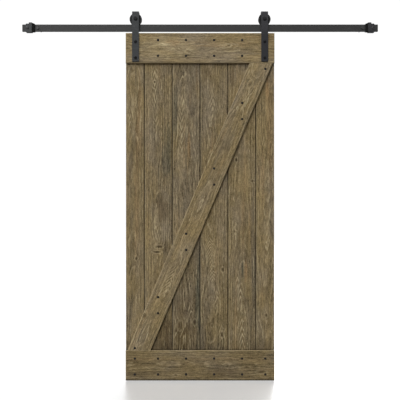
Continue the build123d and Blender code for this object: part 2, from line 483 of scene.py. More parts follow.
@dataclass(frozen=True)
class WearAndPaintedLight:
    """Dirt, use, and painted light and shade in the stain: distances, and shares of brightness or
    cover.

    The painted shade at the foot of the planks, in the ledge and crease above the lower board and on
    the leaf's sole, the settled stain and painted groove shade in the V at each seam, the joints on
    the back and the painted highlight line beside each seam all have their own.
    """

    # Foot, ledge, crease and sole: painted shade, as shares of brightness that stay.
    foot_drop: float = 0.90
    ledge_rise: float = 0.10
    ledge_light: float = 0.72
    crease_from: float = 0.003
    crease_to: float = 0.009
    crease_light: float = 0.32
    sole_from: float = 0.013
    sole_to: float = 0.006
    sole_light: float = 0.40
    seam_from: float = 0.0008
    seam_to: float = 0.0024
    joint_from: float = 0.0022
    joint_to: float = 0.0008
    joint_dark: float = 0.85
    # The pale line beside each seam is a painted highlight.
    painted_highlight_width: float = 0.0045
    painted_highlight_share: float = 0.16


@dataclass(frozen=True)
class WoodFinish:
    """Stained, wire-brushed softwood whose growth rings are cut out of one log for each board.

    Attributes:
        corner: The leaf's upper left corner, from which knots, patches and flames are placed.
        heart: How far the log's axis lies to the right of the board's middle.
        depth: How far it lies in front of the board's face.
        taper: How much that depth grows with each metre along the grain.
        wander: How far the axis strays.
        pale_left: Distance of the painted highlight line left of the board's middle, or 0 for none.
        ledge: Place along the grain where the lower cross board starts, or 0 for none.
        half: Half the plank's width, or 0 where its back shows no joint.
        sole: Place across the grain of the leaf's lowest edge, or 0 where the board ends above it.
    """

    name: str
    centre: Point
    tilt: float
    corner: Point
    seed: float
    heart: float
    depth: float
    taper: float
    wander: float = 0.016
    ring_gap: float = 0.0115
    light: float = 1.0
    warmth: float = 0.5
    lines: float = 1.0
    seam_dirt_and_shade: float = 0.0
    pale_left: float = 0.0
    arris_wear_and_highlight: float = 0.0
    foot_light: float = 1.0
    ledge: float = 0.0
    half: float = 0.0
    sole: float = 0.0
    pale_share: float = 0.72
    dark_share: float = 0.55
    flame_pale: float = 1.1
    flame_dark: float = 2.0
    rim_share: float = 0.42
    shine: float = 0.22
    relief_depth: float = 0.0010
    wear_and_painted_light: WearAndPaintedLight = WearAndPaintedLight()
    knots: tuple[Knot, ...] = ()
    patches: tuple[Patch, ...] = ()
    flames: tuple[Flame, ...] = ()

    def place(self, from_left: float, down: float) -> tuple[float, float]:
        """Turn a place on the leaf into the board's own across and along.

        Args:
            from_left: Distance from the leaf's left edge.
            down: Distance from the leaf's top edge.

        Returns:
            Distance across and along the grain from the board's middle.
        """
        x = self.corner[0] + from_left - self.centre[0]
        z = self.corner[2] - down - self.centre[2]
        across = x * math.cos(self.tilt) - z * math.sin(self.tilt)
        along = x * math.sin(self.tilt) + z * math.cos(self.tilt)
        return across, along

    def seam(self, graph: BoardGraph) -> Socket:
        """Find the slanted faces of the V at each seam: settled stain, darkened further as painted
        groove shade.

        Args:
            graph: The board's network.

        Returns:
            The share of dark stain and painted groove shade.
        """
        sideways, outward, _ = graph.facing
        slant = graph.math("ABSOLUTE", graph.math("MULTIPLY", sideways, outward))
        sunk = graph.between(graph.depth, self.wear_and_painted_light.seam_from, self.wear_and_painted_light.seam_to, 0.0,
                             self.seam_dirt_and_shade)
        return graph.math("MULTIPLY", graph.between(slant, 0.2, 0.4, 0.0, 1.0), sunk)

    def joint(self, graph: BoardGraph) -> Socket:
        """Draw the hairline between two planks on the back of the leaf.

        Args:
            graph: The board's network.

        Returns:
            The share of shade in it.
        """
        dark = self.wear_and_painted_light.joint_dark if self.half else 0.0
        back = graph.between(graph.facing[1], 0.5, 0.9, 0.0, dark)
        edge = graph.between(graph.math("ABSOLUTE", graph.across), self.half - self.wear_and_painted_light.joint_from,
                             self.half - self.wear_and_painted_light.joint_to, 0.0, 1.0)
        return graph.math("MULTIPLY", back, edge)

    def painted_foot_and_ledge_shade(self, graph: BoardGraph) -> Socket:
        """Paint shade into the stain: towards the foot and, in front, in the ledge and crease above
        the lower board.

        Args:
            graph: The board's network.

        Returns:
            The share of brightness that stays.
        """
        wear_and_painted_light = self.wear_and_painted_light
        foot = graph.between(graph.along, -wear_and_painted_light.foot_drop, 0.0, self.foot_light, 1.0)
        ledge = graph.between(graph.along, self.ledge, self.ledge + wear_and_painted_light.ledge_rise,
                              wear_and_painted_light.ledge_light if self.ledge else 1.0, 1.0)
        crease = graph.between(graph.along, self.ledge + wear_and_painted_light.crease_from,
                               self.ledge + wear_and_painted_light.crease_to,
                               wear_and_painted_light.crease_light if self.ledge else 1.0, 1.0)
        front = graph.between(graph.facing[1], -0.6, 0.2, 1.0, 0.0)
        loss = graph.math("SUBTRACT", graph.product(ledge, crease), 1.0)
        return graph.product(foot, graph.math("MULTIPLY_ADD", loss, front, 1.0))

    def painted_sole_shade(self, graph: BoardGraph) -> Socket:
        """Darken the lowest edge of the leaf: painted shade along its downward-facing sole.

        Args:
            graph: The board's network.

        Returns:
            The share of brightness that stays.
        """
        return graph.between(graph.across, self.sole - self.wear_and_painted_light.sole_from,
                             self.sole - self.wear_and_painted_light.sole_to, 1.0,
                             self.wear_and_painted_light.sole_light if self.sole else 1.0)

    def worn(self, graph: BoardGraph) -> Socket:
        """Find where the wood is painted paler: rubbed stain with a painted highlight on rounded
        edges, and a painted highlight line beside the seam on the left.

        Args:
            graph: The board's network.

        Returns:
            The share of bare wood.
        """
        outward = graph.math("ABSOLUTE", graph.facing[1])
        # Rounded edges: stain rubbed off, also painted paler as a lit edge.
        rounded = graph.product(graph.between(outward, 0.15, 0.5, 0.0, 1.0),
                                graph.between(outward, 0.85, 0.98, 1.0, 0.0))
        # A painted highlight line beside the seam on the left.
        beside = graph.math("ABSOLUTE", graph.math("ADD", graph.across, self.pale_left))
        line = graph.between(beside, 0.0, self.wear_and_painted_light.painted_highlight_width,
                             self.wear_and_painted_light.painted_highlight_share if self.pale_left else 0.0, 0.0)
        return graph.math("MAXIMUM", graph.math("MULTIPLY", rounded, self.arris_wear_and_highlight), line)

    def log_radius(self, graph: BoardGraph) -> Socket:
        """Measure how far each point of the board lies from the axis of its log.

        Args:
            graph: The board's network.

        Returns:
            The distance, in metres.
        """
        sway = graph.math("MULTIPLY", graph.layers[Layer.SWAY], self.wander)
        heave = graph.math("MULTIPLY", graph.layers[Layer.HEAVE], self.wander)
        side = graph.total(graph.math("SUBTRACT", graph.across, self.heart), sway)
        slope = graph.math("MULTIPLY_ADD", graph.along, self.taper, self.depth)
        sunk = graph.total(graph.depth, slope, heave)
        return graph.math("SQRT", graph.total(graph.product(side, side), graph.product(sunk, sunk)))

    def knot_marks(self, graph: BoardGraph, knot: Knot) -> tuple[Socket, Socket, Socket]:
        """What one knot does to the wood.

        Args:
            graph: The material's network.
            knot: The knot.

        Returns:
            How far it bends the rings, its dark core and its pale rim.
        """
        near = graph.nearness(self.place(knot.from_left, knot.down),
                              (knot.radius, knot.radius * knot.stretch))
        bend = graph.math("MULTIPLY", graph.bell(near, 6.0), knot.push)
        torn = graph.total(near, graph.math("MULTIPLY", graph.layers[Layer.TEAR], 1.1))
        core = graph.math("MULTIPLY", graph.between(torn, 0.0, 1.7, 1.0, 0.0), knot.dark)
        ring = graph.math("ABSOLUTE", graph.math("SUBTRACT", torn, 3.0))
        rim = graph.math("MULTIPLY", graph.between(ring, 0.0, 1.8, 0.7, 0.0), knot.dark)
        return bend, core, rim

    def ring_lines(self, graph: BoardGraph, radius: Socket) -> tuple[Socket, Socket, Socket]:
        """Draw the growth rings.

        Args:
            graph: The material's network.
            radius: Distance from the log's axis.

        Returns:
            The pale lines, the dark lines and how the brightness swells within each ring.
        """
        ripple, fray = graph.layers[Layer.RIPPLE], graph.layers[Layer.FRAY]
        turns = graph.math("MULTIPLY", graph.total(radius, ripple, fray), 1.0 / self.ring_gap)
        phase = graph.math("FRACT", turns)
        luck = graph.add("ShaderNodeTexWhiteNoise", noise_dimensions="1D")
        graph.join(graph.math("FLOOR", turns), luck.inputs["W"])
        strong = graph.between(luck.outputs["Value"], 0.15, 0.95, 0.25, 1.0)
        pale_peak = graph.product(graph.between(phase, 0.50, 0.80, 0.0, 1.0),
                                  graph.between(phase, 0.80, 0.96, 1.0, 0.0))
        dark_peak = graph.product(graph.between(phase, 0.84, 0.97, 0.0, 1.0),
                                  graph.between(phase, 0.97, 1.0, 1.0, 0.3))
        fading = graph.between(graph.layers[Layer.FADE], -0.24, 0.24, 0.0, 1.0)
        strand = graph.math("MULTIPLY", graph.layers[Layer.STRAND], 0.6)
        rough = graph.total(graph.layers[Layer.FLECKS], strand)
        jagged = graph.between(rough, -0.25, 0.3, 0.1, 1.0)
        pale_line = graph.product(pale_peak, fading, strong, jagged, self.lines)
        dark_line = graph.product(dark_peak, graph.between(fading, 0.0, 1.0, 0.35, 1.0), self.lines)
        swell = graph.between(phase, 0.05, 0.85, -0.10, 0.10)
        return pale_line, dark_line, swell

    def chevrons(self, graph: BoardGraph, flame: Flame) -> Socket:
        """Draw one stack of chevrons.

        Args:
            graph: The material's network.
            flame: The stack.

        Returns:
            Its marks: above nought for pale strokes, below it for the dark ones between them.
        """
        stray = graph.layers[Layer.STRAY]
        shake = graph.total(graph.layers[Layer.RIPPLE], graph.layers[Layer.FRAY],
                            graph.math("MULTIPLY", stray, 1.6))
        place = self.place(flame.from_left, flame.down)
        aside = graph.math("ABSOLUTE", graph.total(graph.across, -place[0], stray))
        rise = graph.total(graph.along, graph.math("MULTIPLY", aside, flame.lean), shake)
        saw = graph.math("FRACT", graph.math("MULTIPLY", rise, 1.0 / flame.gap))
        stroke = graph.product(graph.between(saw, 0.35, 0.65, 0.0, 1.0),
                               graph.between(saw, 0.65, 0.90, 1.0, 0.0))
        middle = graph.math("ABSOLUTE", graph.math("SUBTRACT", saw, 0.1))
        groove = graph.between(middle, 0.0, 0.2, -0.4, 0.0)
        near = graph.nearness(place, (flame.wide, flame.high))
        mask = graph.math("MULTIPLY", graph.bell(near, 1.0), flame.strength)
        broken = graph.between(graph.layers[Layer.FLECKS], -0.3, 0.2, 0.5, 1.0)
        return graph.product(graph.math("ADD", stroke, groove), mask, broken)

    def stained(self, graph: BoardGraph) -> Socket:
        """Mix the stain's colour, with its patches, before rings and marks are drawn on it.

        Args:
            graph: The board's network.

        Returns:
            The colour.
        """
        warm = graph.total(graph.layers[Layer.CLOUD], 0.5 * self.warmth)
        colour = graph.blend(graph.between(warm, -0.35, 0.65, 0.0, 1.0),
                             linear(Tone.GREY.value), linear(Tone.OLIVE.value))
        hue = graph.layers[Layer.HUE]
        colour = graph.stain(colour, graph.between(hue, 0.16, 0.44, 0.0, 0.40), Tone.WARM)
        colour = graph.stain(colour, graph.between(hue, -0.16, -0.40, 0.0, 0.40), Tone.DUSK)
        upright = abs(math.cos(self.tilt)) > abs(math.sin(self.tilt))
        for patch in self.patches:
            reach = (patch.wide, patch.high) if upright else (patch.high, patch.wide)
            near = graph.nearness(self.place(patch.from_left, patch.down), reach)
            ragged = graph.total(near, *graph.weighed(RAGGED_WEIGHTS))
            share = graph.between(ragged, 0.1, 1.6, patch.strength, 0.0)
            colour = graph.stain(colour, share, patch.tone)
        return colour

    def material(self) -> bpy.types.Material:
        """Build the board's material.

        Returns:
            The finished material.
        """
        graph = BoardGraph(self.name, self.centre, self.tilt, self.seed)
        marks = [self.knot_marks(graph, knot) for knot in self.knots]
        radius = graph.total(self.log_radius(graph), *(bend for bend, _, _ in marks))
        pale_line, dark_line, swell = self.ring_lines(graph, radius)

        brightness = graph.total(self.light, swell, *graph.weighed(BRIGHTNESS_WEIGHTS))
        colour = graph.lit(self.stained(graph), graph.math("MAXIMUM", brightness, 0.2))
        # Painted shade towards the planks' foot and in the ledge and crease above the lower board.
        colour = graph.lit(colour, self.painted_foot_and_ledge_shade(graph))
        colour = graph.stain(colour, graph.math("MULTIPLY", dark_line, self.dark_share), Tone.UMBER)
        colour = graph.stain(colour, graph.math("MULTIPLY", pale_line, self.pale_share), Tone.CREAM)
        for flame in self.flames:
            mark = self.chevrons(graph, flame)
            colour = graph.stain(colour, graph.math("MULTIPLY", mark, self.flame_pale), Tone.CREAM)
            colour = graph.stain(colour, graph.math("MULTIPLY", mark, -self.flame_dark), Tone.UMBER)
        # Paler rounded edges: rubbed stain and a painted edge highlight; the line beside each seam: a
        # painted highlight.
        colour = graph.stain(colour, self.worn(graph), Tone.CREAM)
        # Painted shade along the leaf's lowest edge.
        colour = graph.lit(colour, self.painted_sole_shade(graph))
        for _, _, rim in marks:
            colour = graph.stain(colour, graph.math("MULTIPLY", rim, self.rim_share), Tone.CREAM)
        for _, core, _ in marks:
            colour = graph.stain(colour, core, Tone.BARK)
        # Seam V: settled stain and painted groove shade; back joints: dark joint lines.
        dirt = graph.math("MAXIMUM", self.seam(graph), self.joint(graph))
        colour = graph.stain(colour, dirt, Tone.PITCH)
        graph.join(colour, graph.shader.inputs["Base Color"])

        dry = graph.between(graph.layers[Layer.FIBRE], -0.6, 0.6, 0.86, 0.68)
        graph.join(dry, graph.shader.inputs["Roughness"])
        graph.shader.inputs["Specular IOR Level"].default_value = self.shine
        height = graph.total(graph.math("MULTIPLY", pale_line, 0.5),
                             graph.math("MULTIPLY", dark_line, -0.4),
                             *graph.weighed(RELIEF_WEIGHTS))
        graph.relief(height, self.relief_depth)
        return graph.material


@dataclass(frozen=True)
class PowderCoat:
    """Matt black powder coat on steel, with a fine orange-peel grain, rubbed patches and a painted
    brighter top.
    """

    name: str
    coat: Shade = (50, 51, 53)
    rubbed: Shade = (84, 84, 85)
    rub: float = 0.5
    roughness: float = 0.52
    grain: float = 0.00012
    shine: float = 0.35
    # Painted light: how much brighter the coat is painted above the leaf line.
    painted_top_light: float = 1.0
    leaf_line: tuple[float, float] = (-0.05, 0.01)
    peel_rate: float = 900.0
    speckle_rate: float = 380.0
    mottle_rate: float = 32.0
    scuff_rates: Point = (14.0, 60.0, 90.0)

    def material(self) -> bpy.types.Material:
        """Build the coat's material.

        Returns:
            The finished material.
        """
        graph = NodeGraph(self.name)
        where = graph.add("ShaderNodeTexCoord").outputs["Object"]
        peel = graph.noise(where, (self.peel_rate,) * 3, 1.0)
        speckle = graph.noise(where, (self.speckle_rate,) * 3, 5.0, 1.0)
        mottle = graph.noise(where, (self.mottle_rate,) * 3, 9.0, 4.0)
        scuff = graph.noise(where, self.scuff_rates, 13.0, 5.0)
        uneven = graph.total(0.72, graph.math("MULTIPLY", speckle, 0.36),
                             graph.math("MULTIPLY", mottle, 0.20))
        colour = graph.lit(linear(self.coat)[:3], uneven)
        height = graph.split(where)[2]
        # Painted light: the coat is brightened above the leaf line.
        colour = graph.lit(colour, graph.between(height, *self.leaf_line, 1.0, self.painted_top_light))
        worn = graph.math("MULTIPLY", graph.between(scuff, 0.58, 0.74, 0.0, 1.0), self.rub)
        colour = graph.blend(worn, colour, linear(self.rubbed))
        graph.join(colour, graph.shader.inputs["Base Color"])
        rough = graph.total(self.roughness - 0.08, graph.math("MULTIPLY", mottle, 0.16))
        graph.join(rough, graph.shader.inputs["Roughness"])
        graph.shader.inputs["Specular IOR Level"].default_value = self.shine
        graph.relief(graph.total(peel, graph.math("MULTIPLY", speckle, 0.6)), self.grain)
        return graph.material


@dataclass(frozen=True)
class Rubber:
    """Moulded black rubber with a dusty bloom."""

    name: str
    body: Shade = (4, 4, 4)
    bloom: Shade = (16, 16, 15)
    dust_rate: float = 120.0
    pore_rate: float = 1400.0
    pore_depth: float = 0.00008

    def material(self) -> bpy.types.Material:
        """Build the rubber's material.

        Returns:
            The finished material.
        """
        graph = NodeGraph(self.name)
        where = graph.add("ShaderNodeTexCoord").outputs["Object"]
        dust = graph.noise(where, (self.dust_rate,) * 3, 3.0, 5.0)
        dusty = graph.between(dust, 0.5, 0.8, 0.0, 0.6)
        colour = graph.blend(dusty, linear(self.body), linear(self.bloom))
        graph.join(colour, graph.shader.inputs["Base Color"])
        graph.join(graph.between(dust, 0.3, 0.8, 0.62, 0.85), graph.shader.inputs["Roughness"])
        graph.shader.inputs["Specular IOR Level"].default_value = 0.1
        graph.relief(graph.noise(where, (self.pore_rate,) * 3, 8.0), self.pore_depth)
        return graph.material


@dataclass(frozen=True)
class DarkNail:
    """Blackened iron of hand-set nails, with brown oxide in the hollows."""

    name: str
    iron: Shade = (9, 8, 8)
    oxide: Shade = (26, 20, 15)
    pit_rate: float = 420.0
    pit_depth: float = 0.0003

    def material(self) -> bpy.types.Material:
        """Build the nails' material.

        Returns:
            The finished material.
        """
        graph = NodeGraph(self.name)
        where = graph.add("ShaderNodeTexCoord").outputs["Object"]
        pit = graph.noise(where, (self.pit_rate,) * 3, 2.0, 4.0)
        brown = graph.between(pit, 0.5, 0.75, 0.0, 0.7)
        colour = graph.blend(brown, linear(self.iron), linear(self.oxide))
        graph.join(colour, graph.shader.inputs["Base Color"])
        graph.join(graph.between(pit, 0.3, 0.8, 0.55, 0.8), graph.shader.inputs["Roughness"])
        graph.shader.inputs["Specular IOR Level"].default_value = 0.2
        graph.relief(pit, self.pit_depth)
        return graph.material


def dress(names: Sequence[str], material: bpy.types.Material, frame: dict) -> None:
    """Give CAD nodes a material through their own slots.

    Args:
        names: The nodes' names.
        material: The material they take.
        frame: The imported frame.
    """
    for name in names:
        for slot in frame["nodes"][name].material_slots:
            slot.material = material


def finish_piece(name: str, shape: bmesh.types.BMesh, material: bpy.types.Material, body: str) -> None:
    """Turn a bmesh into a finished piece that rides on a body.

    Args:
        name: The piece's name.
        shape: The mesh, which is freed here.
        material: Its material.
        body: The CAD body that it moves with.
    """
    bmesh.ops.recalc_face_normals(shape, faces=shape.faces)
    mesh = bpy.data.meshes.new(name)
    shape.to_mesh(mesh)
    shape.free()
    for polygon in mesh.polygons:
        polygon.use_smooth = True
    mesh.materials.append(material)
    piece = bpy.data.objects.new(name, mesh)
    bpy.context.scene.collection.objects.link(piece)
    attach(piece, body)
    log.info("made %s with %d faces, riding on %s", name, len(mesh.polygons), body)


def turn_profile(shape: bmesh.types.BMesh, profile: Sequence[tuple[float, float]], centre: Vector,
                 steps: int) -> list[bmesh.types.BMVert]:
    """Turn a profile about an axis along Y and add it to a mesh.

    Args:
        shape: The mesh that grows.
        profile: Pairs of radius and distance towards the viewer, from the axis outwards.
        centre: The foot of the axis.
        steps: Steps of the full turn.

    Returns:
        The new vertices.
    """
    start = [shape.verts.new(centre + Vector((radius, -rise, 0.0))) for radius, rise in profile]
    edges = [shape.edges.new(pair) for pair in zip(start, start[1:])]
    before = set(shape.verts) - set(start)
    bmesh.ops.spin(shape, geom=start + edges, cent=centre, axis=(0.0, 1.0, 0.0),
                   angle=2.0 * math.pi, steps=steps, use_merge=True, use_duplicate=False)
    fresh = [vertex for vertex in shape.verts if vertex not in before]
    bmesh.ops.remove_doubles(shape, verts=fresh, dist=1e-6)
    return [vertex for vertex in shape.verts if vertex not in before]


# foot_light is the brightness left at a plank's foot: painted shade.
BOARD_LOOKS: dict[str, dict[str, object]] = {
    "plank_1": dict(
        seed=2.0, heart=-0.012, depth=0.045, taper=0.035, light=0.99, warmth=0.6,
        knots=(Knot(0.063, 1.385, 0.006, push=0.008),),
        patches=(Patch(0.02, 0.80, 0.03, 0.10, Tone.GREY, 0.5),
                 Patch(0.08, 0.62, 0.02, 0.16, Tone.WARM, 0.4)),
        flames=(Flame(0.033, 0.215, 0.016, 0.056, 0.045, 3.0, 0.55),
                Flame(0.028, 0.540, 0.016, 0.088, 0.045, 3.0, 0.55))),
    "plank_2": dict(
        seed=17.0, heart=-0.014, depth=0.030, taper=-0.028, light=0.94, foot_light=0.85,
        knots=(Knot(0.178, 0.298, 0.005, push=0.016),
               Knot(0.204, 1.313, 0.017, stretch=0.45, push=0.014, dark=0.85),
               Knot(0.191, 1.346, 0.019, stretch=0.28, push=0.008, dark=0.95)),
        patches=(Patch(0.225, 1.08, 0.045, 0.08, Tone.UMBER, 0.45),
                 Patch(0.255, 0.72, 0.03, 0.16, Tone.SLATE, 0.6),
                 Patch(0.24, 1.86, 0.06, 0.12, Tone.UMBER, 0.5),
                 Patch(0.235, 1.31, 0.035, 0.035, Tone.UMBER, 0.4)),
        flames=(Flame(0.179, 0.250, 0.016, 0.044, 0.045, 3.0, 0.99),
                Flame(0.177, 0.325, 0.015, 0.044, 0.045, -3.0, 0.88),
                Flame(0.180, 0.405, 0.011, 0.037, 0.060, -4.0, 0.99),
                Flame(0.183, 0.545, 0.016, 0.050, 0.045, -3.0, 0.66),
                Flame(0.192, 1.235, 0.023, 0.075, 0.048, -3.2, 0.55))),
    "plank_3": dict(
        seed=31.0, heart=-0.006, depth=0.050, taper=0.036, light=0.87, warmth=0.25, foot_light=0.86,
        knots=(Knot(0.333, 1.80, 0.012, push=0.020, dark=0.5),
               Knot(0.424, 1.78, 0.008, push=0.012, dark=0.6)),
        patches=(Patch(0.30, 0.52, 0.02, 0.18, Tone.SLATE, 0.5),
                 Patch(0.37, 1.78, 0.08, 0.24, Tone.UMBER, 0.35),
                 Patch(0.389, 0.69, 0.010, 0.07, Tone.TAN, 0.7),
                 Patch(0.45, 1.66, 0.02, 0.26, Tone.SLATE, 0.8),
                 Patch(0.345, 1.86, 0.05, 0.09, Tone.UMBER, 0.4)),
        flames=(Flame(0.353, 0.425, 0.014, 0.044, 0.048, 3.2, 0.99),
                Flame(0.344, 0.600, 0.018, 0.163, 0.045, -3.0, 0.77),
                Flame(0.399, 1.715, 0.014, 0.044, 0.048, 3.2, 0.88),
                Flame(0.307, 1.860, 0.011, 0.037, 0.045, 3.0, 0.66))),
    "plank_4": dict(
        seed=47.0, heart=-0.020, depth=0.040, taper=-0.030, light=0.87, foot_light=0.88,
        knots=(Knot(0.597, 1.455, 0.007, push=0.010, dark=0.85),
               Knot(0.592, 1.853, 0.009, push=0.016, dark=0.7),
               Knot(0.530, 1.80, 0.005, push=0.006, dark=0.5)),
        patches=(Patch(0.47, 1.88, 0.02, 0.10, Tone.DUSK, 0.6),
                 Patch(0.60, 1.42, 0.03, 0.05, Tone.UMBER, 0.3),
                 Patch(0.50, 0.24, 0.03, 0.04, Tone.UMBER, 0.3)),
        flames=(Flame(0.535, 0.430, 0.028, 0.062, 0.045, 3.0, 0.66),
                Flame(0.520, 1.320, 0.018, 0.080, 0.022, 1.5, 0.7),
                Flame(0.533, 1.455, 0.018, 0.080, 0.026, 1.9, 0.8),
                Flame(0.561, 1.650, 0.017, 0.075, 0.045, 3.0, 0.66),
                Flame(0.590, 1.845, 0.018, 0.044, 0.036, 2.4, 0.77))),
    "plank_5": dict(
        seed=53.0, heart=0.004, depth=0.055, taper=0.038, light=0.91, foot_light=0.91,
        knots=(Knot(0.680, 0.776, 0.006, push=0.012, dark=0.95),
               Knot(0.780, 0.908, 0.011, stretch=0.5, push=0.008, dark=0.75)),
        patches=(Patch(0.739, 1.47, 0.009, 0.07, Tone.TAN, 0.6),
                 Patch(0.718, 1.45, 0.008, 0.06, Tone.SLATE, 0.8),
                 Patch(0.783, 1.30, 0.012, 0.40, Tone.DUSK, 0.7),
                 Patch(0.660, 0.27, 0.012, 0.07, Tone.UMBER, 0.5)),
        flames=(Flame(0.671, 1.205, 0.014, 0.044, 0.048, 3.2, 0.77),
                Flame(0.687, 1.520, 0.010, 0.044, 0.052, 3.5, 0.88),
                Flame(0.706, 1.600, 0.014, 0.062, 0.045, 3.0, 0.88),
                Flame(0.717, 1.845, 0.018, 0.112, 0.045, 3.0, 0.94))),
    "plank_6": dict(
        seed=61.0, heart=0.010, depth=0.046, taper=-0.034, light=0.95, warmth=0.7, foot_light=0.88,
        knots=(Knot(0.866, 1.737, 0.006, push=0.008, dark=0.75),),
        patches=(Patch(0.869, 0.355, 0.010, 0.06, Tone.TAN, 0.9),
                 Patch(0.89, 0.65, 0.02, 0.30, Tone.WARM, 0.4)),
        flames=(Flame(0.868, 1.300, 0.014, 0.088, 0.051, -3.4, 0.66),)),
    "top_board": dict(
        seed=71.0, heart=0.004, depth=0.040, taper=0.030, light=1.10, warmth=0.8,
        knots=(Knot(0.634, 0.075, 0.006, push=0.016, dark=0.6),),
        patches=(Patch(0.24, 0.090, 0.16, 0.060, Tone.CREAM, 0.20),
                 Patch(0.246, 0.069, 0.050, 0.008, Tone.CREAM, 0.80),
                 Patch(0.630, 0.071, 0.060, 0.009, Tone.CREAM, 0.30),
                 Patch(0.29, 0.060, 0.04, 0.020, Tone.TAN, 0.40),
                 Patch(0.88, 0.03, 0.03, 0.03, Tone.UMBER, 0.35)),
        flames=(Flame(0.255, 0.070, 0.011, 0.055, 0.080, 6.0, 1.0),
                Flame(0.640, 0.078, 0.013, 0.045, 0.042, 2.6, 0.9),
                Flame(0.375, 0.110, 0.022, 0.040, 0.045, -2.6, 0.5))),
    # light=0.73 is partly the board's tone and partly painted shade for the light falling off towards
    # the foot.
    "bottom_board": dict(
        seed=83.0, heart=-0.010, depth=0.036, taper=0.020, light=0.73, warmth=0.7,
        lines=0.5,
        knots=(Knot(0.833, 2.08, 0.007, stretch=3.0, push=0.006, dark=0.6),
               Knot(0.308, 2.10, 0.005, push=0.006, dark=0.6)),
        patches=(Patch(0.60, 2.09, 0.10, 0.03, Tone.UMBER, 0.35),
                 Patch(0.10, 2.10, 0.10, 0.02, Tone.UMBER, 0.3))),
    "brace": dict(
        seed=97.0, heart=-0.004, depth=0.048, taper=0.026, light=1.02, warmth=0.6, lines=1.1,
        knots=(Knot(0.763, 0.313, 0.009, push=0.018, dark=0.6),
               Knot(0.116, 1.735, 0.010, push=0.012, dark=0.45)),
        flames=(Flame(0.760, 0.235, 0.020, 0.070, 0.070, 5.0, 0.6),
                Flame(0.756, 0.375, 0.020, 0.050, 0.060, -4.0, 0.7),
                Flame(0.116, 1.690, 0.016, 0.050, 0.021, 1.2, 0.8),
                Flame(0.277, 1.515, 0.023, 0.075, 0.027, 1.8, 0.88))),
}


